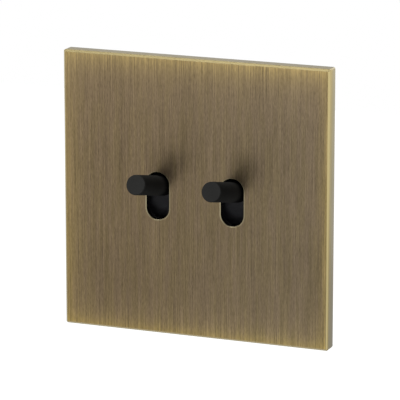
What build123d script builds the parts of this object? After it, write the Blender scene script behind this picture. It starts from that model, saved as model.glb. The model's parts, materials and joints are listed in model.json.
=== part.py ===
from build123d import *
from math import cos, radians, sin
import os

os.makedirs("parts", exist_ok=True)

# Double momentary toggle switch: two levers behind one patinated brass plate.
# X runs to the right, Y into the wall, Z up. The origin is the centre of the wall
# plane, on which the plate's rim and the back of the mounting frame both lie.

# Faceplate
plate_thickness = 4.3
plate_corner_radius = 0.6
plate_edge_break = 0.6
rim_width = 3.8
pocket_depth = 2.7
pocket_corner_radius = 2.0
slot_width = 6.8
slot_length = 13.6
slot_edge_break = 0.2
pry_notch_width = 8.0
pry_notch_depth = 1.0

# Magnets that hold the plate
magnet_diameter = 8.0
magnet_recess = 0.5
magnet_edge_break = 0.2
magnet_fit = 0.05

# Mounting frame
frame_thickness = 1.2
frame_edge = 5.9
frame_fit = 0.3
frame_corner_radius = 3.0
box_screw_pitch = 60.0
box_slot_width = 4.0
box_slot_length = 7.0
lip_length = 16.0
lip_height = 4.0
earth_offset = 3.3
earth_drop = 12.0
earth_screw_diameter = 3.5
earth_head_diameter = 6.0
earth_head_height = 2.0
earth_clamp_side = 6.0
earth_clamp_thickness = 1.0
earth_collar_wall = 0.9
earth_collar_height = 1.2

# Switch module
gang_pitch = 22.5
module_gap = 0.2
module_height = 45.0
module_corner_radius = 0.8
body_height = 41.0
module_wall = 1.5
window_fit = 0.2
cover_gap = 0.1
cover_slot_margin = 0.4
closing_fit = 0.1

# Lever and rocker
pivot_depth = 13.6
lever_tilt = 12.7
lever_diameter = 5.7
lever_reach = 16.0
lever_tip_round = 0.3
lever_seat_depth = 0.6
spigot_diameter = 3.2
spigot_gap = 0.2
socket_fit = 0.03
drum_gap = 0.7
drum_wall = 1.5
drum_half_angle = 70.0
drum_width = 9.6
web_half_angle = 62.0
web_thickness = 2.4
boss_diameter = 7.2
hub_diameter = 5.2
pin_diameter = 2.0
pin_fit = 0.05
pin_seat_fit = 0.02
nose_arm = 6.0
nose_arm_thickness = 1.6
nose_diameter = 2.4
nose_width = 4.0
nose_gap = 0.1

# Cheeks of the front cover
cheek_thickness = 2.0
cheek_gap = 0.4
bearing_diameter = 7.0
rail_depth = 1.1
rail_thickness = 0.9
slide_fit = 0.1
snap_leg_thickness = 1.2
snap_leg_width = 8.0
snap_leg_length = 8.2
snap_lug_width = 6.0
snap_lug_depth = 2.4
snap_lug_height = 1.1
snap_lug_inset = 1.0

# Plunger, contacts and return spring
plunger_drop = 0.7
head_height = 4.6
head_length = 6.0
head_edge_break = 0.4
head_core_width = 2.6
head_core_depth = 3.5
stem_diameter = 3.4
stem_engagement = 3.4
stem_fit = 0.05
stem_end_gap = 0.3
bridge_length = 14.0
bridge_height = 4.0
bridge_thickness = 0.8
bridge_corner_radius = 1.0
tip_diameter = 3.0
tip_height = 0.7
tip_round = 0.25
closed_gap = 0.05
contact_spacing = 10.4
terminal_thickness = 1.0
arm_width = 3.5
pad_width = 12.0
pad_height = 7.0
pad_inset = 0.2
terminal_screw_diameter = 3.5
terminal_head_diameter = 5.6
terminal_head_height = 2.0
terminal_screw_reach = 3.0
terminal_clamp_width = 8.0
terminal_clamp_height = 6.4
terminal_clamp_thickness = 1.2
wire_diameter = 1.8
wire_groove_depth = 0.5
driver_slot_width = 0.9
driver_slot_depth = 1.1
thread_fit = 0.05
screw_clearance = 0.25
spring_wire = 0.5
spring_mean_diameter = 4.7
spring_turns = 6.0
spring_pocket_fit = 0.3
spring_seat_depth = 3.5
spring_end_gap = 0.03

# Housing
rear_edge_break = 0.6
terminal_floor = 2.2
terminal_bay = 11.5
bay_corner_cut = 3.0
spring_block_width = 14.0
spring_block_height = 8.4
arm_slot_fit = 0.15
hook_width = 8.0
hook_reach = 1.2
hook_ramp = 4.0
hook_gap = 0.05
hook_length = 8.2
hook_slit = 0.8

# Depths into the wall, from the plate's front to the back of the housings
pocket_floor = -pocket_depth
frame_front = -frame_thickness
cover_front = pocket_floor + cover_gap
cover_back = frame_front
pivot_y = pivot_depth - plate_thickness
tilt = radians(lever_tilt)
drum_radius = pivot_y - cover_back - drum_gap
plunger_travel = 2 * nose_arm * sin(tilt)
plunger_z = -(nose_arm + plunger_drop)
head_front = pivot_y - nose_arm * sin(tilt) + nose_diameter / 2 + nose_gap
head_rear = head_front + head_length
cheek_rear = head_rear - bridge_thickness
bridge_rear = head_rear + bridge_thickness
fixed_tip_front = bridge_rear + tip_height + plunger_travel + closed_gap
terminal_front = fixed_tip_front + tip_height
terminal_back = terminal_front + terminal_thickness
floor_front = terminal_front - terminal_floor
spring_seat = terminal_back + spring_seat_depth
stem_end = terminal_back + stem_engagement
guide_bottom = max(stem_end + plunger_travel, spring_seat) + stem_end_gap
housing_rear = guide_bottom + module_wall

# Widths and heights that follow from the sizes above
frame_side = box_screw_pitch + 2 * frame_edge
pocket_side = frame_side + 2 * frame_fit
plate_side = pocket_side + 2 * rim_width
module_width = gang_pitch - module_gap
inner_width = module_width - 2 * module_wall
inner_height = body_height - 2 * module_wall
window_width = gang_pitch + module_width + 2 * window_fit
window_height = body_height + 2 * window_fit
magnet_pitch = (window_width + frame_side) / 2
earth_place = (-(window_width / 2 + earth_offset), -earth_drop)
cheek_inner = drum_width / 2 + cheek_gap
cheek_outer = cheek_inner + cheek_thickness
head_width = 2 * (cheek_inner - slide_fit)
rail_offset = head_height / 2 + slide_fit + rail_thickness / 2
bay_span = body_height / 2 - terminal_bay
pad_z = terminal_bay + pad_inset + pad_height / 2
snap_leg_outer = inner_width / 2 - closing_fit
snap_lug_rear = cover_back + snap_leg_length - snap_lug_inset
lever_direction = (0, -cos(tilt), sin(tilt))
lever_seat = drum_radius - lever_seat_depth
lever_end = pivot_depth / cos(tilt) + lever_reach
socket_bottom = hub_diameter / 2 + lever_seat_depth
gangs = {"left": -gang_pitch / 2, "right": gang_pitch / 2}


def facing_out(depth, x=0.0, z=0.0):
    """Plane parallel to the wall at a depth, with its normal towards the room."""
    return Plane(origin=(x, depth, z), x_dir=(1, 0, 0), z_dir=(0, -1, 0))


def across(x):
    """Plane square to X at a distance from the centre, with Y and Z as its own axes."""
    return Plane(origin=(x, 0, 0), x_dir=(0, 1, 0), z_dir=(1, 0, 0))


def swing_plane(x):
    """Plane square to a pivot pin: its first axis runs along the lever, its second up."""
    return Plane(origin=(x, pivot_y, 0), x_dir=lever_direction, z_dir=(-1, 0, 0))


def lever_plane(x, radius):
    """Plane square to a lever, at a distance from its pivot."""
    return Plane(origin=(x, pivot_y, 0), x_dir=(1, 0, 0), z_dir=lever_direction).offset(radius)


def save(builder, name):
    """Label a finished piece and write its file."""
    builder.part.label = name
    export_step(builder.part, f"parts/{name}.step")


def make_faceplate():
    """Square plate with two lever slots, hollowed at the back to cover the frame."""
    with BuildPart() as plate:
        with BuildSketch(facing_out(0)):
            RectangleRounded(plate_side, plate_side, plate_corner_radius)
        extrude(amount=plate_thickness)
        chamfer(plate.faces().sort_by(Axis.Y)[0].edges(), plate_edge_break)
        with BuildSketch(facing_out(0)):
            RectangleRounded(pocket_side, pocket_side, pocket_corner_radius)
        extrude(amount=pocket_depth, mode=Mode.SUBTRACT)
        with BuildSketch(facing_out(pocket_floor)):
            with GridLocations(gang_pitch, 1, 2, 1):
                SlotOverall(slot_length, slot_width, rotation=90)
        extrude(amount=plate_thickness - pocket_depth, mode=Mode.SUBTRACT)
        slot_rims = [wire.edges() for wire in plate.faces().sort_by(Axis.Y)[0].inner_wires()]
        chamfer(sum(slot_rims, ShapeList()), slot_edge_break)
        with BuildSketch(facing_out(pocket_floor)):
            with GridLocations(magnet_pitch, magnet_pitch, 2, 2):
                Circle(magnet_diameter / 2 + magnet_fit)
        extrude(amount=magnet_recess, mode=Mode.SUBTRACT)
        with BuildSketch(facing_out(0)):
            with Locations((0, (rim_width - plate_side) / 2)):
                Rectangle(pry_notch_width, rim_width)
        extrude(amount=pry_notch_depth, mode=Mode.SUBTRACT)
    save(plate, "faceplate")


def make_plate_magnets():
    """Four discs, bedded in the plate's back and resting on the steel frame."""
    with BuildPart() as magnets:
        with BuildSketch(facing_out(frame_front)):
            with GridLocations(magnet_pitch, magnet_pitch, 2, 2):
                Circle(magnet_diameter / 2)
        extrude(amount=frame_front - pocket_floor + magnet_recess)
        chamfer(magnets.edges(), magnet_edge_break)
    save(magnets, "plate_magnets")


def make_mounting_frame():
    """Pressed steel frame with a window for the modules and slots for the box screws."""
    collar_diameter = earth_screw_diameter + 2 * (thread_fit + earth_collar_wall)
    with BuildPart() as frame:
        with BuildSketch(facing_out(0)):
            RectangleRounded(frame_side, frame_side, frame_corner_radius)
            RectangleRounded(window_width, window_height, module_corner_radius, mode=Mode.SUBTRACT)
            with GridLocations(box_screw_pitch, 1, 2, 1):
                SlotOverall(box_slot_length, box_slot_width, mode=Mode.SUBTRACT)
            with GridLocations(1, box_screw_pitch, 1, 2):
                SlotOverall(box_slot_length, box_slot_width, rotation=90, mode=Mode.SUBTRACT)
        extrude(amount=frame_thickness)
        with BuildSketch(facing_out(lip_height)):
            with GridLocations(window_width + frame_thickness, 1, 2, 1):
                Rectangle(frame_thickness, lip_length)
        extrude(amount=lip_height)
        with BuildSketch(facing_out(frame_front)):
            with Locations(earth_place):
                Circle(collar_diameter / 2)
        extrude(amount=earth_collar_height)
        with BuildSketch(facing_out(0)):
            with Locations(earth_place):
                Circle(earth_screw_diameter / 2 + thread_fit)
        extrude(amount=frame_thickness + earth_collar_height, mode=Mode.SUBTRACT)
    save(frame, "mounting_frame")


def make_earth_terminal():
    """Square clamp and screw on the back of the frame, for the plate's earth wire."""
    with BuildPart() as clamp:
        with BuildSketch(facing_out(earth_clamp_thickness)):
            with Locations(earth_place):
                RectangleRounded(earth_clamp_side, earth_clamp_side, earth_clamp_thickness / 2)
                Circle(earth_screw_diameter / 2 + screw_clearance, mode=Mode.SUBTRACT)
        extrude(amount=earth_clamp_thickness)
    save(clamp, "earth_clamp")
    head_rear = earth_clamp_thickness + earth_head_height
    with BuildPart() as screw:
        with BuildSketch(facing_out(head_rear)):
            with Locations(earth_place):
                Circle(earth_head_diameter / 2)
        extrude(amount=earth_head_height)
        chamfer(screw.faces().sort_by(Axis.Y)[-1].edges(), earth_head_height / 4)
        with BuildSketch(facing_out(earth_clamp_thickness)):
            with Locations(earth_place):
                Circle(earth_screw_diameter / 2)
        extrude(amount=earth_clamp_thickness + frame_thickness + earth_collar_height)
        with BuildSketch(facing_out(head_rear)):
            with Locations(earth_place):
                Rectangle(earth_head_diameter, driver_slot_width)
        extrude(amount=driver_slot_depth, mode=Mode.SUBTRACT)
    save(screw, "earth_screw")


def make_front_cover(side, x):
    """Module front: flange on the frame, lever window, bearing cheeks and snap legs."""
    with BuildPart() as cover:
        with BuildSketch(facing_out(cover_back, x)):
            RectangleRounded(module_width, module_height, module_corner_radius)
            SlotOverall(
                slot_length + 2 * cover_slot_margin,
                slot_width + 2 * cover_slot_margin,
                rotation=90,
                mode=Mode.SUBTRACT,
            )
        extrude(amount=cover_back - cover_front)
        for hand in (-1, 1):
            with BuildSketch(across(x + hand * (cheek_inner + cheek_thickness / 2))):
                with Locations((pivot_y, 0)):
                    Circle(bearing_diameter / 2)
                with Locations(((cover_back + pivot_y) / 2, 0)):
                    Rectangle(pivot_y - cover_back, bearing_diameter)
                with Locations(((cover_back + cheek_rear) / 2, plunger_z)):
                    Rectangle(cheek_rear - cover_back, 2 * rail_offset + rail_thickness)
                with Locations((pivot_y, 0)):
                    Circle(pin_diameter / 2 + pin_seat_fit, mode=Mode.SUBTRACT)
            extrude(amount=cheek_thickness / 2, both=True)
            upper_rail_front = pivot_y + hub_diameter / 2 + cheek_gap
            for rail_z, rail_front in ((rail_offset, upper_rail_front), (-rail_offset, pivot_y)):
                with BuildSketch(across(x + hand * (cheek_inner - rail_depth / 2))):
                    with Locations(((rail_front + cheek_rear) / 2, plunger_z + rail_z)):
                        Rectangle(cheek_rear - rail_front, rail_thickness)
                extrude(amount=rail_depth / 2, both=True)
            leg_plane = Plane(origin=(x, 0, 0), x_dir=(hand, 0, 0), z_dir=(0, 0, hand))
            with BuildSketch(leg_plane):
                with BuildLine():
                    Polyline(
                        (snap_leg_outer - snap_leg_thickness, cover_back),
                        (snap_leg_outer, cover_back),
                        (snap_leg_outer, cover_back + snap_leg_length),
                        (snap_leg_outer - snap_leg_thickness, cover_back + snap_leg_length),
                        close=True,
                    )
                make_face()
            extrude(amount=snap_leg_width / 2, both=True)
            with BuildSketch(leg_plane):
                with BuildLine():
                    Polyline(
                        (snap_leg_outer, snap_lug_rear - snap_lug_depth),
                        (snap_leg_outer + snap_lug_height, snap_lug_rear - snap_lug_depth),
                        (snap_leg_outer, snap_lug_rear),
                        close=True,
                    )
                make_face()
            extrude(amount=snap_lug_width / 2, both=True)
    save(cover, f"{side}_front_cover")


def make_housing(side, x):
    """Moulded case: mechanism chamber, spring block, two terminal bays and frame hooks."""
    rear_chamber = housing_rear - module_wall
    with BuildPart() as case:
        with BuildSketch(facing_out(housing_rear, x)):
            RectangleRounded(module_width, body_height, module_corner_radius)
        extrude(amount=housing_rear - cover_back)
        chamfer(case.faces().sort_by(Axis.Y)[-1].edges(), rear_edge_break)
        with BuildSketch(facing_out(floor_front, x)):
            Rectangle(inner_width, inner_height)
        extrude(amount=floor_front - cover_back, mode=Mode.SUBTRACT)
        with BuildSketch(facing_out(rear_chamber, x)):
            Rectangle(inner_width, 2 * (terminal_bay - module_wall))
        extrude(amount=rear_chamber - floor_front, mode=Mode.SUBTRACT)
        with BuildSketch(facing_out(rear_chamber, x, plunger_z)):
            Rectangle(spring_block_width, spring_block_height)
        extrude(amount=rear_chamber - terminal_back)
        with BuildSketch(facing_out(spring_seat, x, plunger_z)):
            Circle((spring_mean_diameter + spring_wire) / 2 + spring_pocket_fit)
        extrude(amount=spring_seat - terminal_back, mode=Mode.SUBTRACT)
        with BuildSketch(facing_out(guide_bottom, x, plunger_z)):
            Circle(stem_diameter / 2 + stem_fit)
        extrude(amount=guide_bottom - spring_seat, mode=Mode.SUBTRACT)
        for up in (-1, 1):
            with BuildSketch(facing_out(housing_rear, x, up * (terminal_bay + bay_span / 2))):
                Rectangle(inner_width, bay_span)
            extrude(amount=housing_rear - terminal_front, mode=Mode.SUBTRACT)
            with BuildSketch(across(x)):
                with BuildLine():
                    Polyline(
                        (housing_rear - bay_corner_cut, up * body_height / 2),
                        (housing_rear, up * body_height / 2),
                        (housing_rear, up * (body_height / 2 - bay_corner_cut)),
                        close=True,
                    )
                make_face()
            extrude(amount=module_width / 2, both=True, mode=Mode.SUBTRACT)
            arm_x = -up * contact_spacing / 2
            with BuildSketch(facing_out(terminal_back + arm_slot_fit, x + arm_x, up * terminal_bay)):
                Rectangle(arm_width + 2 * arm_slot_fit, 2 * module_wall)
            extrude(amount=terminal_thickness + arm_slot_fit, mode=Mode.SUBTRACT)
            with BuildSketch(facing_out(terminal_front, x, up * pad_z)):
                Circle(terminal_screw_diameter / 2 + screw_clearance)
            extrude(amount=terminal_floor, mode=Mode.SUBTRACT)
            with BuildSketch(across(x)):
                with BuildLine():
                    Polyline(
                        (hook_gap, up * body_height / 2),
                        (hook_gap, up * (body_height / 2 + hook_reach)),
                        (hook_gap + hook_ramp, up * body_height / 2),
                        close=True,
                    )
                make_face()
            extrude(amount=hook_width / 2, both=True)
            with BuildSketch(facing_out(cover_back + hook_length, x, up * (body_height - module_wall) / 2)):
                with GridLocations(hook_width + hook_slit, 1, 2, 1):
                    Rectangle(hook_slit, module_wall)
            extrude(amount=hook_length, mode=Mode.SUBTRACT)
        with BuildSketch(across(x)):
            with Locations((snap_lug_rear - snap_lug_depth / 2, 0)):
                Rectangle(snap_lug_depth + 2 * closing_fit, snap_lug_width + 2 * closing_fit)
        extrude(amount=module_width / 2, both=True, mode=Mode.SUBTRACT)
    save(case, f"{side}_housing")


def make_rocker(side, x):
    """Drum sector that closes the slot, with hub, web, lever boss and plunger nose."""
    with BuildPart() as drum:
        with BuildSketch(swing_plane(x)):
            with BuildLine():
                outer = CenterArc((0, 0), drum_radius, -drum_half_angle, 2 * drum_half_angle)
                inner = CenterArc((0, 0), drum_radius - drum_wall, -drum_half_angle, 2 * drum_half_angle)
                Line(outer @ 0, inner @ 0)
                Line(outer @ 1, inner @ 1)
            make_face()
            Circle(hub_diameter / 2)
        extrude(amount=drum_width / 2, both=True)
        with BuildSketch(swing_plane(x)):
            with BuildLine():
                rim = CenterArc((0, 0), drum_radius - drum_wall / 2, -web_half_angle, 2 * web_half_angle)
                Polyline(rim @ 1, (0, 0), rim @ 0)
            make_face()
        extrude(amount=web_thickness / 2, both=True)
        with BuildSketch(lever_plane(x, 0)):
            Circle(boss_diameter / 2)
        extrude(amount=drum_radius - drum_wall / 2)
        with BuildSketch(swing_plane(x)):
            with Locations((0, -nose_arm / 2)):
                Rectangle(nose_arm_thickness, nose_arm)
            with Locations((0, -nose_arm)):
                Circle(nose_diameter / 2)
        extrude(amount=nose_width / 2, both=True)
        with BuildSketch(swing_plane(x)):
            Circle(pin_diameter / 2 + pin_fit)
        extrude(amount=drum_width / 2, both=True, mode=Mode.SUBTRACT)
        with BuildSketch(lever_plane(x, lever_seat)):
            Circle(lever_diameter / 2 + socket_fit)
        extrude(amount=2 * lever_seat_depth, mode=Mode.SUBTRACT)
        with BuildSketch(lever_plane(x, socket_bottom)):
            Circle(spigot_diameter / 2 + socket_fit)
        extrude(amount=lever_seat - socket_bottom, mode=Mode.SUBTRACT)
    save(drum, f"{side}_rocker")


def make_lever(side, x):
    """Round rod with a flat end, and a spigot that seats in the rocker."""
    with BuildPart() as lever:
        with BuildSketch(lever_plane(x, lever_seat)):
            Circle(lever_diameter / 2)
        extrude(amount=lever_end - lever_seat)
        fillet(lever.faces().sort_by(Axis.Y)[0].edges(), lever_tip_round)
        with BuildSketch(lever_plane(x, socket_bottom + spigot_gap)):
            Circle(spigot_diameter / 2)
        extrude(amount=lever_seat - socket_bottom - spigot_gap)
    save(lever, f"{side}_lever")


def make_pivot_pin(side, x):
    """Steel pin held by the two cheeks."""
    with BuildPart() as pin:
        with BuildSketch(swing_plane(x)):
            Circle(pin_diameter / 2)
        extrude(amount=cheek_outer, both=True)
        chamfer(pin.edges(), pin_diameter / 10)
    save(pin, f"{side}_pivot_pin")


def make_plunger(side, x):
    """Slider with a cored head between the cheeks and a stem through the spring."""
    core_offset = (head_width - head_core_width) / 2 - module_wall / 2
    with BuildPart() as plunger:
        with BuildSketch(facing_out(head_rear, x, plunger_z)):
            Rectangle(head_width, head_height)
        extrude(amount=head_length)
        chamfer(plunger.faces().sort_by(Axis.Y)[0].edges(), head_edge_break)
        with BuildSketch(facing_out(head_front, x, plunger_z)):
            with GridLocations(2 * core_offset, 1, 2, 1):
                Rectangle(head_core_width, head_height - 2 * head_edge_break - module_wall)
        extrude(amount=-head_core_depth, mode=Mode.SUBTRACT)
        with BuildSketch(facing_out(stem_end, x, plunger_z)):
            Circle(stem_diameter / 2)
        extrude(amount=stem_end - head_rear)
        chamfer(plunger.faces().sort_by(Axis.Y)[-1].edges(), head_edge_break)
    save(plunger, f"{side}_plunger")


def make_contacts(side, x):
    """Moving bridge on the plunger, and the silver tips on it and on the terminals."""
    with BuildPart() as bridge:
        with BuildSketch(facing_out(bridge_rear, x, plunger_z)):
            RectangleRounded(bridge_length, bridge_height, bridge_corner_radius)
            Circle(stem_diameter / 2 + stem_fit, mode=Mode.SUBTRACT)
        extrude(amount=bridge_thickness)
    save(bridge, f"{side}_contact_bridge")
    for name, depth, struck in (
        ("bridge_tips", bridge_rear + tip_height, -1),
        ("fixed_tips", terminal_front, 0),
    ):
        with BuildPart() as tips:
            with BuildSketch(facing_out(depth, x, plunger_z)):
                with GridLocations(contact_spacing, 1, 2, 1):
                    Circle(tip_diameter / 2)
            extrude(amount=tip_height)
            fillet(tips.edges().group_by(Axis.Y)[struck], tip_round)
        save(tips, f"{side}_{name}")


def make_terminals(side, x):
    """Brass terminals in the two bays, each with an arm to its contact, grooved clamp and screw."""
    arm_end = plunger_z
    for name, up in (("line_terminal", 1), ("load_terminal", -1)):
        arm_x = -up * contact_spacing / 2
        pad_edge = up * (pad_z - pad_height / 2)
        with BuildPart() as terminal:
            with BuildSketch(facing_out(terminal_back, x)):
                with Locations((0, up * pad_z)):
                    RectangleRounded(pad_width, pad_height, terminal_thickness / 2)
                with Locations((arm_x, (pad_edge + up * arm_width / 2 + arm_end) / 2)):
                    Rectangle(arm_width, abs(pad_edge + up * arm_width / 2 - arm_end))
                with Locations((arm_x, arm_end)):
                    Circle(arm_width / 2)
                with Locations((0, up * pad_z)):
                    Circle(terminal_screw_diameter / 2 + thread_fit, mode=Mode.SUBTRACT)
            extrude(amount=terminal_thickness)
        save(terminal, f"{side}_{name}")
    clamp_hole_radius = terminal_screw_diameter / 2 + screw_clearance
    groove_offset = (clamp_hole_radius + terminal_clamp_width / 2) / 2
    groove_y = terminal_back + wire_groove_depth - wire_diameter / 2
    clamp_rear = terminal_back + terminal_clamp_thickness
    head_top = clamp_rear + terminal_head_height
    with BuildPart() as clamps:
        with BuildSketch(facing_out(clamp_rear, x)):
            with GridLocations(1, 2 * pad_z, 1, 2):
                RectangleRounded(terminal_clamp_width, terminal_clamp_height, terminal_clamp_thickness / 2)
                Circle(clamp_hole_radius, mode=Mode.SUBTRACT)
        extrude(amount=terminal_clamp_thickness)
        with BuildSketch(Plane.XY):
            for hand in (-1, 1):
                with Locations((x + hand * groove_offset, groove_y)):
                    Circle(wire_diameter / 2)
        extrude(amount=pad_z + terminal_clamp_height / 2, both=True, mode=Mode.SUBTRACT)
    save(clamps, f"{side}_terminal_clamps")
    with BuildPart() as screws:
        with BuildSketch(facing_out(head_top, x)):
            with GridLocations(1, 2 * pad_z, 1, 2):
                Circle(terminal_head_diameter / 2)
        extrude(amount=terminal_head_height)
        chamfer(screws.edges().group_by(Axis.Y)[-1], terminal_head_height / 5)
        with BuildSketch(facing_out(clamp_rear, x)):
            with GridLocations(1, 2 * pad_z, 1, 2):
                Circle(terminal_screw_diameter / 2)
        extrude(amount=clamp_rear - terminal_front + terminal_screw_reach)
        with BuildSketch(facing_out(head_top, x)):
            with GridLocations(1, 2 * pad_z, 1, 2):
                Rectangle(terminal_head_diameter, driver_slot_width)
                Rectangle(driver_slot_width, terminal_head_diameter - 2 * driver_slot_width)
        extrude(amount=driver_slot_depth, mode=Mode.SUBTRACT)
    save(screws, f"{side}_terminal_screws")


def make_return_spring(side, x):
    """Coil around the plunger's stem, between the contact bridge and the housing."""
    coil_front = bridge_rear + spring_wire / 2 + spring_end_gap
    coil_length = spring_seat - bridge_rear - spring_wire - 2 * spring_end_gap
    with BuildPart() as spring:
        with BuildLine():
            coil = Helix(
                pitch=coil_length / spring_turns,
                height=coil_length,
                radius=spring_mean_diameter / 2,
                center=(x, coil_front, plunger_z),
                direction=(0, 1, 0),
            )
        with BuildSketch(Plane(origin=coil @ 0, z_dir=coil % 0)):
            Circle(spring_wire / 2)
        sweep(path=coil, is_frenet=True)
    save(spring, f"{side}_return_spring")


make_faceplate()
make_plate_magnets()
make_mounting_frame()
make_earth_terminal()
for gang_side, gang_x in gangs.items():
    make_front_cover(gang_side, gang_x)
    make_housing(gang_side, gang_x)
    make_rocker(gang_side, gang_x)
    make_lever(gang_side, gang_x)
    make_pivot_pin(gang_side, gang_x)
    make_plunger(gang_side, gang_x)
    make_contacts(gang_side, gang_x)
    make_terminals(gang_side, gang_x)
    make_return_spring(gang_side, gang_x)
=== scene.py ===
import json
from math import cos, pi, radians, sin

import bmesh
import bpy
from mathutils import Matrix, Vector


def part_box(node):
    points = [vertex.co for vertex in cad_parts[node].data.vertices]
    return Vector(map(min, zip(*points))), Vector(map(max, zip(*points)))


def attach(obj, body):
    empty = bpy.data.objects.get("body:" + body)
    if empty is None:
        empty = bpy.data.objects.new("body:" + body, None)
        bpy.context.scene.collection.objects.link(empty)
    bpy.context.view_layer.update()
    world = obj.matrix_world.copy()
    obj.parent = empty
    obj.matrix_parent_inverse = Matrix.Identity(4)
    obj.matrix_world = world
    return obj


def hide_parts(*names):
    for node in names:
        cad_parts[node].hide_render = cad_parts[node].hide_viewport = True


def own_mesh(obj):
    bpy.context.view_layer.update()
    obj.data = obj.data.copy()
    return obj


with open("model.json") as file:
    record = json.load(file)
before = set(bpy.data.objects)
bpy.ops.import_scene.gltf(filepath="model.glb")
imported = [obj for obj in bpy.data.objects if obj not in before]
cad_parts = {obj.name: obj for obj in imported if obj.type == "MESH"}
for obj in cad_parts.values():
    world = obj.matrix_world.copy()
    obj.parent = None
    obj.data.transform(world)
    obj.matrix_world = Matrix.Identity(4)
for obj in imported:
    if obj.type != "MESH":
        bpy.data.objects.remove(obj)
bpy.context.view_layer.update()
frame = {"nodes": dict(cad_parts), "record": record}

MM = 0.001
SIDES = ("left", "right")
Y_AXIS, Z_AXIS = 1, 2

# Camera: the photograph's view, fitted to the plate's corners in an image of 400 by 400
IMAGE_PX = 400
FOCAL_PX = 3211.8
SENSOR_MM = 36.0
VIEW_AZIMUTH = radians(22.04)
VIEW_ELEVATION = radians(13.45)
VIEW_DISTANCE = 900.0 * MM
AIM_RIGHT = 1.68 * MM
AIM_UP = 0.024 * MM

# Floor and surroundings
FLOOR_DROP = 600 * MM
FLOOR_SIDE = 6.0
FLOOR_COLOUR = (0.8, 0.8, 0.8, 1)
FLOOR_ROUGHNESS = 0.9
FLOOR_SPECULAR = 0.1
FLOOR_GLOW = 0.9
BACKGROUND = 1.0
AMBIENT = 0.18

# Soft boxes: place and side in metres, watts
LAMPS = {
    "key": ((-0.38, -0.76, 0.98), 0.7, 16.0),
    "fill": ((0.95, -0.45, -0.1), 0.6, 0.75),
    "rear": ((0.3, 1.1, 0.6), 0.8, 4.0),
    "low": ((0.0, -0.93, -0.37), 0.35, 1.2),
}

# Places on the plate that its finish follows, in millimetres
PLATE_LOW, PLATE_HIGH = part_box("faceplate")
PLATE_HALF = PLATE_HIGH.x / MM
PLATE_FRONT = PLATE_LOW.y / MM
SLOT_X = sum(corner.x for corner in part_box("right_lever")) / 2 / MM
SLOT_RADIUS = 3.4
SLOT_STRAIGHT = 3.4

# Upright brushing of the plate: cell in millimetres, detail, shift and weight of each noise
BRUSHING = {
    "hair": ((0.15, 0.9, 1.2), 1.0, 0.0, 0.73),
    "fibre": ((0.16, 1.4, 5.0), 1.0, 13.0, 0.55),
    "streak": ((0.17, 2.0, 26.0), 2.0, 7.0, 1.04),
    "band": ((2.6, 4.0, 45.0), 1.0, 19.0, 0.25),
    "cloud": ((22.0, 22.0, 30.0), 3.0, 31.0, 0.2),
}

# Patches of olive and pinkish patina: cell in millimetres, detail and shift of their noise
HUE_PATCHES = ((1.2, 3.0, 14.0), 2.0, 43.0)

# Range that most of a noise's values are in
NOISE_LOW, NOISE_HIGH = 0.25, 0.75

# What changes towards the plate's edges: reach in millimetres and strength from each edge
PALER_PATINA = {"top": (12.0, 0.10), "bottom": (9.0, 0.32), "right": (6.0, -0.14)}
PALER_LEFT_MM = 6.0
PALER_LEFT_BOTTOM, PALER_LEFT_TOP = 0.10, 0.34
RUBBED_BORDER = {"top": (3.2, 0.86), "bottom": (2.2, 0.46), "left": (2.4, 0.42), "right": (1.4, 0.55)}
GREYER_BORDER = {"top": (6.0, 1.0), "left": (6.0, 0.3), "right": (6.0, 0.8)}

# Colours of the plate, in linear light
PATINA_OLIVE = (0.137, 0.1035, 0.0568)
PATINA_PINK = (0.139, 0.1035, 0.063)
GOLDEN_BORDER = (0.34, 0.25, 0.064)
GOLDEN_TOP = (0.35, 0.258, 0.095)
CAST_LEFT = (1.03, 1.0, 0.97)
CAST_RIGHT = (0.98, 1.0, 1.04)
CAST_BORDER = (1.0, 1.0, 1.1)
POLISHED_EDGE = (0.41, 0.336, 0.165)
POLISHED_RIM = (0.255, 0.22, 0.137)
SIDE_AT_FRONT = (0.262, 0.207, 0.08)
SIDE_AT_WALL = (0.228, 0.197, 0.118)
SLOT_WALL = (0.012, 0.011, 0.010)
RAW_DARK = (0.16, 0.115, 0.06)
RAW_PALE = (0.24, 0.17, 0.085)

# Depth of the surface marks that show as bump, in millimetres
SCRATCH_MM = 0.004
ERODED_MM = 0.02

# Matt plastics and coatings; the last entry, where given, paints light and shade along one axis: the
# axis, a range along it and the strength at its two ends
MOULDINGS = {
    "black_lever": {
        "dark": (0.023, 0.023, 0.022),
        "pale": (0.031, 0.031, 0.030),
        "rough": (0.5, 0.6),
        "grain_mm": 0.12,
        "specular": 0.0,
        # Painted shade: darker towards the root, where the lever goes into the slot
        "painted_shading": (Y_AXIS, PLATE_FRONT - 3.0, PLATE_FRONT + 1.0, 1.0, 0.3),
    },
    "rocker_moulding": {
        "dark": (0.013, 0.013, 0.014),
        "pale": (0.020, 0.020, 0.022),
        "rough": (0.45, 0.6),
        "grain_mm": 0.2,
        "specular": 0.12,
        # Painted light: paler towards the bottom of the drum, seen through the slot
        "painted_shading": (Z_AXIS, -6.8, -1.0, 4.6, 1.2),
    },
    "black_moulding": {
        "dark": (0.018, 0.018, 0.019),
        "pale": (0.030, 0.030, 0.031),
        "rough": (0.5, 0.65),
        "grain_mm": 0.22,
        "specular": 0.35,
    },
    "white_moulding": {
        "dark": (0.58, 0.56, 0.50),
        "pale": (0.66, 0.64, 0.58),
        "rough": (0.4, 0.5),
        "grain_mm": 0.25,
        "specular": 0.4,
    },
}

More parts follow.
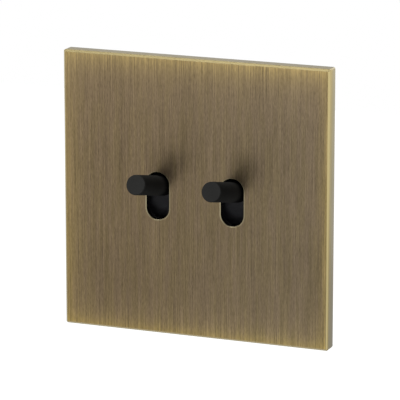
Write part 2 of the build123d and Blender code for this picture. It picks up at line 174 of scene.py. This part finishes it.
# Metals: deep and bright colour, least and most roughness, cell of the streaks in millimetres
METALS = {
    "nickel_magnet": ((0.55, 0.54, 0.50), (0.68, 0.67, 0.64), (0.12, 0.25), (0.5, 0.5, 0.5)),
    "zinc_steel": ((0.47, 0.48, 0.50), (0.62, 0.63, 0.65), (0.28, 0.42), (6.0, 0.6, 0.4)),
    "terminal_brass": ((0.52, 0.36, 0.14), (0.72, 0.53, 0.23), (0.22, 0.36), (0.4, 0.5, 5.0)),
    "pin_steel": ((0.48, 0.48, 0.49), (0.62, 0.62, 0.63), (0.15, 0.25), (4.0, 0.2, 0.2)),
    "contact_copper": ((0.60, 0.28, 0.17), (0.78, 0.42, 0.27), (0.22, 0.36), (5.0, 0.3, 0.3)),
    "contact_silver": ((0.62, 0.62, 0.60), (0.80, 0.80, 0.78), (0.18, 0.30), (0.3, 0.3, 0.3)),
    "spring_steel": ((0.40, 0.40, 0.41), (0.55, 0.55, 0.56), (0.22, 0.32), (0.3, 0.3, 0.3)),
}

# Return springs: round wire, closed at both ends
WIRE_RADIUS = 0.25 * MM
COIL_TURNS = 8
CLOSED_TURNS = 1.2
CLOSED_PITCH = 2.1 * WIRE_RADIUS
STEPS_PER_TURN = 28
WIRE_SIDES = 10
SPRING_AXIS = Vector((0, 1, 0))


class Finish:
    """A procedural material: its Principled shader and short ways to add nodes to it."""

    def __init__(self, name):
        self.material = bpy.data.materials.new(name)
        self.material.use_nodes = True
        self.tree = self.material.node_tree
        self.shader = self.tree.nodes["Principled BSDF"]
        place = self.node("ShaderNodeTexCoord").outputs["Object"]
        self.place = self.vector("MULTIPLY", place, (1 / MM, 1 / MM, 1 / MM))

    def node(self, kind, **settings):
        made = self.tree.nodes.new(kind)
        for name, value in settings.items():
            setattr(made, name, value)
        return made

    def feed(self, socket, value):
        """Link a socket's value into another socket, or set a plain value on it."""
        if isinstance(value, bpy.types.NodeSocket):
            self.tree.links.new(value, socket)
        else:
            socket.default_value = value

    def set(self, **values):
        """Set or link the shader's own sockets, named with underscores for spaces."""
        for name, value in values.items():
            self.feed(self.shader.inputs[name.replace("_", " ")], value)

    def math(self, operation, *values):
        made = self.node("ShaderNodeMath", operation=operation)
        for socket, value in zip(made.inputs, values):
            self.feed(socket, value)
        return made.outputs[0]

    def vector(self, operation, first, second):
        made = self.node("ShaderNodeVectorMath", operation=operation)
        self.feed(made.inputs[0], first)
        self.feed(made.inputs[1], second)
        return made.outputs[0]

    def axes(self, vector):
        made = self.node("ShaderNodeSeparateXYZ")
        self.feed(made.inputs[0], vector)
        return made.outputs[:3]

    def total(self, start, *parts):
        """A number plus weighted values, given as pairs of value and weight."""
        result = start
        for value, weight in parts:
            result = self.math("MULTIPLY_ADD", value, weight, result)
        return result

    def noise(self, cells, detail, shift=0.0, roughness=0.5):
        """Noise with a cell of the given size in millimetres along each axis, about 0 to 1."""
        stretched = self.vector("DIVIDE", self.place, cells)
        moved = self.vector("ADD", stretched, (shift, shift, shift))
        made = self.node("ShaderNodeTexNoise")
        self.feed(made.inputs["Vector"], moved)
        made.inputs["Scale"].default_value = 1.0
        made.inputs["Detail"].default_value = detail
        made.inputs["Roughness"].default_value = roughness
        return made.outputs["Fac"]

    def spread(self, value, low, high, to_low=0.0, to_high=1.0):
        """Map a range of values smoothly to another range, held at both ends."""
        made = self.node("ShaderNodeMapRange", interpolation_type="SMOOTHSTEP")
        for socket, number in zip(made.inputs[:5], (value, low, high, to_low, to_high)):
            self.feed(socket, number)
        return made.outputs[0]

    def fade(self, distance, reach):
        """Falls from 1 at distance 0 to 1/e at the given reach."""
        return self.math("EXPONENT", self.math("DIVIDE", distance, -reach))

    def mix(self, share, first, second):
        """From the first colour to the second as the share goes from 0 to 1."""
        made = self.node("ShaderNodeMix", data_type="RGBA", clamp_factor=True)
        self.feed(made.inputs["Factor"], share)
        for socket, colour in zip(made.inputs[6:8], (first, second)):
            self.feed(socket, colour if isinstance(colour, bpy.types.NodeSocket) else (*colour, 1.0))
        return made.outputs[2]

    def tint(self, colour, amount):
        """A colour times a number that varies over the surface."""
        made = self.node("ShaderNodeVectorMath", operation="SCALE")
        self.feed(made.inputs[0], colour)
        self.feed(made.inputs["Scale"], amount)
        return made.outputs[0]

    def bump(self, height, depth_mm):
        made = self.node("ShaderNodeBump")
        made.inputs["Distance"].default_value = depth_mm * MM
        self.feed(made.inputs["Height"], height)
        self.set(Normal=made.outputs[0])


class PatinatedBrass(Finish):
    """Antique bronze patina on brass: brushed upright, rubbed bright along the edges, with painted
    light and shade on its edges and sides.
    """

    def __init__(self, name):
        super().__init__(name)
        self.x, self.y, self.z = self.axes(self.place)
        normal = self.node("ShaderNodeNewGeometry").outputs["True Normal"]
        self.normal_x, self.normal_y, self.normal_z = self.axes(normal)
        self.measure_plate()
        self.brush()

        front = self.polished_edges(self.patinated_front())
        on_front = self.spread(self.faces_front, 0.3, 0.6)
        colour = self.mix(on_front, self.plate_sides(), front)
        in_slot = self.math("LESS_THAN", self.from_slot, 0.02)
        colour = self.mix(in_slot, colour, SLOT_WALL)
        raw = self.mix(self.cloud, RAW_DARK, RAW_PALE)
        on_back = self.spread(self.normal_y, 0.3, 0.6)
        colour = self.mix(on_back, colour, raw)

        roughness = self.spread(self.streak, NOISE_LOW, NOISE_HIGH, 0.31, 0.39)
        tangent = self.node("ShaderNodeTangent", direction_type="RADIAL", axis="X")
        self.set(Base_Color=colour, Metallic=1.0, Roughness=roughness, Anisotropic=0.35)
        self.set(Tangent=tangent.outputs[0])
        self.bump(self.math("ADD", self.hair, self.streak), SCRATCH_MM)

    def measure_plate(self):
        """Millimetres in from the front, from the plate's four edges and from the nearer slot."""
        self.faces_front = self.math("MULTIPLY", self.normal_y, -1.0)
        self.inward = self.math("SUBTRACT", self.y, PLATE_FRONT)
        self.to_edge = {
            "left": self.math("ADD", self.x, PLATE_HALF),
            "right": self.math("SUBTRACT", PLATE_HALF, self.x),
            "bottom": self.math("ADD", self.z, PLATE_HALF),
            "top": self.math("SUBTRACT", PLATE_HALF, self.z),
        }
        self.off_slot = self.math("SUBTRACT", self.math("ABSOLUTE", self.x), SLOT_X)
        past_straight = self.math("SUBTRACT", self.math("ABSOLUTE", self.z), SLOT_STRAIGHT)
        off_end = self.math("MAXIMUM", past_straight, 0.0)
        across = self.math("POWER", self.off_slot, 2.0)
        along = self.math("POWER", off_end, 2.0)
        from_middle = self.math("SQRT", self.math("ADD", across, along))
        self.from_slot = self.math("SUBTRACT", from_middle, SLOT_RADIUS)

    def brush(self):
        """Short hairs, longer fibres, long streaks, broad bands and clouds; their sum averages 1."""
        made = {}
        parts = []
        for name, (cells, detail, shift, weight) in BRUSHING.items():
            made[name] = self.noise(cells, detail, shift)
            parts.append((made[name], weight))
        self.hair = made["hair"]
        self.streak = made["streak"]
        self.cloud = made["cloud"]
        self.grain = self.total(1 - sum(weight for _, weight in parts) / 2, *parts)

    def near(self, edge, reach):
        """Falls from 1 at one of the plate's edges to 1/e at the given reach."""
        return self.fade(self.to_edge[edge], reach)

    def near_edges(self, reaches):
        """The sum of what comes in from several edges, each with its reach and strength."""
        parts = [(self.near(edge, reach), strength) for edge, (reach, strength) in reaches.items()]
        return self.total(0.0, *parts)

    def patinated_front(self):
        """Olive to pinkish brown patina, paler near the edges by wear and painted light and paler
        towards the top by painted light, with borders rubbed to golden brass.
        """
        hue = self.spread(self.noise(*HUE_PATCHES), 0.35, 0.65)
        hue = self.math("ADD", hue, self.near("top", 12.0))
        patina = self.mix(hue, PATINA_OLIVE, PATINA_PINK)
        left = self.spread(self.z, -PLATE_HALF, PLATE_HALF, PALER_LEFT_BOTTOM, PALER_LEFT_TOP)
        # Paler near the edges by wear and painted light; the rise towards the top is painted light
        paler = self.total(
            0.945,
            (self.near_edges(PALER_PATINA), 1.0),
            (self.near("left", PALER_LEFT_MM), left),
            (self.z, 0.0038),
        )
        patina = self.tint(patina, self.math("MULTIPLY", self.grain, paler))

        uneven = self.spread(self.streak, NOISE_LOW, NOISE_HIGH, 0.7, 1.3)
        rubbed = self.math("MULTIPLY", self.near_edges(RUBBED_BORDER), uneven)
        golden = self.mix(self.near("top", 8.0), GOLDEN_BORDER, GOLDEN_TOP)
        golden = self.tint(golden, self.grain)

        # Redder towards the left, and greyer along the borders at the top, left and right
        cast = self.mix(self.spread(self.x, -44, 44), CAST_LEFT, CAST_RIGHT)
        cast = self.mix(self.near_edges(GREYER_BORDER), cast, CAST_BORDER)
        return self.vector("MULTIPLY", self.mix(rubbed, patina, golden), cast)

    def polished_edges(self, front):
        """The front with its broken edges, round the plate and the slots, polished where worn; the
        edges and rims that face up are dulled by painted shade.
        """
        broken = self.spread(self.faces_front, 0.82, 0.95, 1.0, 0.0)
        right_of_slot = self.math("MULTIPLY", self.off_slot, self.math("SIGN", self.x))
        width = self.spread(right_of_slot, 1.5, 3.3, 0.85, 1.35)
        by_width = self.math("DIVIDE", self.from_slot, width)
        rubbed_rim = self.spread(by_width, 0.15, 0.5, 0.8, 0.0)
        worn = self.math("MAXIMUM", broken, rubbed_rim)

        # Duller along the top and bottom edges, and on both sides of the line that wears most; the
        # dulling of what faces up is painted shade
        sideways = self.math("ABSOLUTE", self.normal_x)
        level = self.spread(sideways, 0.05, 0.3, self.total(0.56, (self.x, -0.001)), 0.0)
        top = self.math("MULTIPLY", self.spread(self.normal_z, 0.3, 0.6), level)
        bottom = self.spread(self.normal_z, -0.6, -0.3, 0.15, 0.0)
        behind = self.spread(self.inward, 0.2, 0.6)
        before = self.spread(self.inward, 0.0, 0.25, 0.9, 0.0)
        beside = self.math("ADD", behind, before)
        beside = self.math("MULTIPLY", beside, self.spread(self.z, -36, 36, 0.42, 0.08))
        edge_wear_and_shade = self.total(0.98, (self.z, 0.001), (top, -1.0), (bottom, -1.0), (beside, -1.0))
        edge = self.tint(POLISHED_EDGE, edge_wear_and_shade)
        # Painted shade also dulls the slot rims that face up
        rim = self.tint(POLISHED_RIM, self.total(1.0, (top, -0.8)))
        near_slot = self.math("LESS_THAN", self.from_slot, 1.0)
        return self.mix(worn, front, self.mix(near_slot, edge, rim))

    def plate_sides(self):
        """Golden near the front edge and greyer towards the wall; painted light and shade make them
        brighter towards the top, darker towards the bottom and duller on the upper face.
        """
        side = self.mix(self.spread(self.inward, 0.6, 3.8), SIDE_AT_FRONT, SIDE_AT_WALL)
        # Painted light and shade: brighter towards the top, darker towards the bottom, and duller on
        # the upper face
        painted_shading = self.spread(self.z, -48, 48, 0.6, 1.4)
        painted_shading = self.total(painted_shading, (self.near("top", 12.0), 0.45))
        top_side = self.total(0.52, (self.x, -0.001))
        painted_shading = self.math("MULTIPLY", painted_shading, self.spread(self.normal_z, 0.3, 0.6, 1.0, top_side))
        clouded = self.total(0.75, (self.cloud, 0.5))
        return self.tint(side, self.math("MULTIPLY", painted_shading, clouded))


def moulding(name, dark, pale, rough, grain_mm, specular, painted_shading=None):
    """Matt moulded plastic or coating: fine eroded grain, faint flow clouds, and light and shade
    painted along one axis where given.
    """
    f = Finish(name)
    grain = f.noise((grain_mm, grain_mm, grain_mm), 3.0, roughness=0.6)
    flow = f.noise((9.0, 9.0, 14.0), 3.0, shift=11.0)
    share = f.total(0.0, (grain, 0.6), (flow, 0.5))
    colour = f.mix(f.spread(share, 0.35, 0.75), dark, pale)
    # Painted light and shade: the colour is scaled along one axis
    if painted_shading:
        axis, *ends = painted_shading
        colour = f.tint(colour, f.spread(f.axes(f.place)[axis], *ends))
    f.set(Base_Color=colour, Roughness=f.spread(flow, 0.3, 0.7, *rough))
    f.set(Specular_IOR_Level=specular)
    f.bump(grain, ERODED_MM)
    return f.material


def plated_metal(name, deep, bright, rough, cells):
    """Bare or plated metal: drawn or brushed streaks along one axis over a cloudy tarnish."""
    f = Finish(name)
    streak = f.noise(cells, 3.0)
    cloud = f.noise((5.0, 5.0, 5.0), 4.0, shift=17.0, roughness=0.6)
    share = f.total(0.0, (streak, 0.5), (cloud, 0.6))
    f.set(Base_Color=f.mix(f.spread(share, 0.3, 0.8), deep, bright))
    f.set(Metallic=1.0, Roughness=f.spread(cloud, NOISE_LOW, NOISE_HIGH, *rough))
    f.bump(streak, SCRATCH_MM)
    return f.material


def make_finishes():
    """One material for each of the record's material slots."""
    made = {"patinated_brass": PatinatedBrass("patinated_brass").material}
    for slot, look in MOULDINGS.items():
        made[slot] = moulding(slot, **look)
    for slot, look in METALS.items():
        made[slot] = plated_metal(slot, *look)
    return made


def dress_frame(finishes):
    """Give every CAD node the material of its slot."""
    for part in frame["record"]["subparts"]:
        mesh = frame["nodes"][part["node"]].data
        mesh.materials.clear()
        mesh.materials.append(finishes[part["material_slot"]])


def make_camera():
    back = Vector((
        sin(VIEW_AZIMUTH) * cos(VIEW_ELEVATION),
        -cos(VIEW_AZIMUTH) * cos(VIEW_ELEVATION),
        sin(VIEW_ELEVATION),
    ))
    data = bpy.data.cameras.new("camera")
    data.sensor_width = SENSOR_MM
    data.lens = FOCAL_PX / IMAGE_PX * SENSOR_MM
    camera = bpy.data.objects.new("camera", data)
    camera.location = Vector((AIM_RIGHT, PLATE_LOW.y, AIM_UP)) + back * VIEW_DISTANCE
    camera.rotation_euler = back.to_track_quat("Z", "Y").to_euler()
    bpy.context.scene.collection.objects.link(camera)
    bpy.context.scene.camera = camera


def seen_directly(tree):
    """1 for rays from the camera, and for those that metal or glass sends on."""
    path = tree.nodes.new("ShaderNodeLightPath")
    total = path.outputs["Is Camera Ray"]
    for name in ("Is Glossy Ray", "Is Transmission Ray"):
        either = tree.nodes.new("ShaderNodeMath")
        either.operation = "MAXIMUM"
        tree.links.new(total, either.inputs[0])
        tree.links.new(path.outputs[name], either.inputs[1])
        total = either.outputs[0]
    return total


def make_world():
    """White surroundings to look at, and a softer even light on the object."""
    world = bpy.data.worlds.new("studio")
    bpy.context.scene.world = world
    world.use_nodes = True
    tree = world.node_tree
    light = tree.nodes["Background"]
    light.inputs["Color"].default_value = (1, 1, 1, 1)
    strength = tree.nodes.new("ShaderNodeMapRange")
    tree.links.new(seen_directly(tree), strength.inputs["Value"])
    strength.inputs["To Min"].default_value = AMBIENT
    strength.inputs["To Max"].default_value = BACKGROUND
    tree.links.new(strength.outputs[0], light.inputs["Strength"])


def floor_material():
    """Pale matt surface; its own glow keeps it white to the eye, and shadows still show."""
    material = bpy.data.materials.new("floor")
    material.use_nodes = True
    tree = material.node_tree
    surface = tree.nodes["Principled BSDF"]
    surface.inputs["Base Color"].default_value = FLOOR_COLOUR
    surface.inputs["Roughness"].default_value = FLOOR_ROUGHNESS
    surface.inputs["Specular IOR Level"].default_value = FLOOR_SPECULAR
    glow = tree.nodes.new("ShaderNodeEmission")
    glow.inputs["Strength"].default_value = FLOOR_GLOW
    both = tree.nodes.new("ShaderNodeAddShader")
    tree.links.new(surface.outputs[0], both.inputs[0])
    tree.links.new(glow.outputs[0], both.inputs[1])
    choice = tree.nodes.new("ShaderNodeMixShader")
    tree.links.new(seen_directly(tree), choice.inputs[0])
    tree.links.new(surface.outputs[0], choice.inputs[1])
    tree.links.new(both.outputs[0], choice.inputs[2])
    tree.links.new(choice.outputs[0], tree.nodes["Material Output"].inputs["Surface"])
    return material


def add_mesh(name, shape, material):
    """Turn a finished bmesh into an object of the scene."""
    mesh = bpy.data.meshes.new(name)
    shape.to_mesh(mesh)
    shape.free()
    mesh.materials.append(material)
    made = bpy.data.objects.new(name, mesh)
    bpy.context.scene.collection.objects.link(made)
    return made


def make_floor():
    """Pale floor below the object."""
    shape = bmesh.new()
    bmesh.ops.create_grid(shape, x_segments=1, y_segments=1, size=FLOOR_SIDE / 2)
    floor = add_mesh("floor", shape, floor_material())
    floor.location.z = PLATE_LOW.z - FLOOR_DROP


def soft_lamp(name, place, side, watts):
    """Square soft box that faces the plate."""
    data = bpy.data.lights.new(name, "AREA")
    data.size = side
    data.energy = watts
    lamp = bpy.data.objects.new(name, data)
    lamp.location = place
    lamp.visible_camera = False
    lamp.rotation_euler = Vector(place).to_track_quat("Z", "Y").to_euler()
    bpy.context.scene.collection.objects.link(lamp)


def coil_climb(turn, height):
    """How far the wire has climbed after some turns: slowly at the closed ends, evenly between."""
    shut = CLOSED_PITCH * CLOSED_TURNS
    open_turns = COIL_TURNS - 2 * CLOSED_TURNS
    climb = min(max(turn - CLOSED_TURNS, 0), open_turns) / open_turns * (height - 2 * shut)
    climb += min(turn, CLOSED_TURNS) / CLOSED_TURNS * shut
    climb += max(turn - COIL_TURNS + CLOSED_TURNS, 0) / CLOSED_TURNS * shut
    return climb


def coil_shape(start, radius, height):
    """Round wire wound about the spring's axis, as a closed bmesh."""
    shape = bmesh.new()
    rings = []
    for i in range(COIL_TURNS * STEPS_PER_TURN + 1):
        turn = i / STEPS_PER_TURN
        angle = 2 * pi * turn
        out = Vector((cos(angle), 0, sin(angle)))
        centre = start + coil_climb(turn, height) * SPRING_AXIS + radius * out
        ring = []
        for k in range(WIRE_SIDES):
            around = 2 * pi * k / WIRE_SIDES
            offset = cos(around) * out + sin(around) * SPRING_AXIS
            ring.append(shape.verts.new(centre + WIRE_RADIUS * offset))
        rings.append(ring)
    for before, after in zip(rings, rings[1:]):
        for k in range(WIRE_SIDES):
            following = (k + 1) % WIRE_SIDES
            shape.faces.new((before[k], before[following], after[following], after[k]))
    shape.faces.new(reversed(rings[0]))
    shape.faces.new(rings[-1])
    bmesh.ops.recalc_face_normals(shape, faces=shape.faces)
    for face in shape.faces:
        face.smooth = True
    return shape


def make_spring(side, finish):
    """Coil on the plunger's stem in place of the CAD spring."""
    node = f"{side}_return_spring"
    low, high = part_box(node)
    middle = (low + high) / 2
    start = Vector((middle.x, low.y + WIRE_RADIUS, middle.z))
    radius = (high.x - low.x) / 2 - WIRE_RADIUS
    length = high.y - low.y
    shape = coil_shape(start, radius, length - 2 * WIRE_RADIUS)
    coil = add_mesh(f"{side}_coil", shape, finish)
    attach(coil, "base")
    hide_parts(node)
    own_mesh(coil)


finishes = make_finishes()
dress_frame(finishes)
for side in SIDES:
    make_spring(side, finishes["spring_steel"])
make_camera()
make_world()
make_floor()
for name, lamp in LAMPS.items():
    soft_lamp(name, *lamp)
bpy.context.scene.view_settings.view_transform = "Standard"
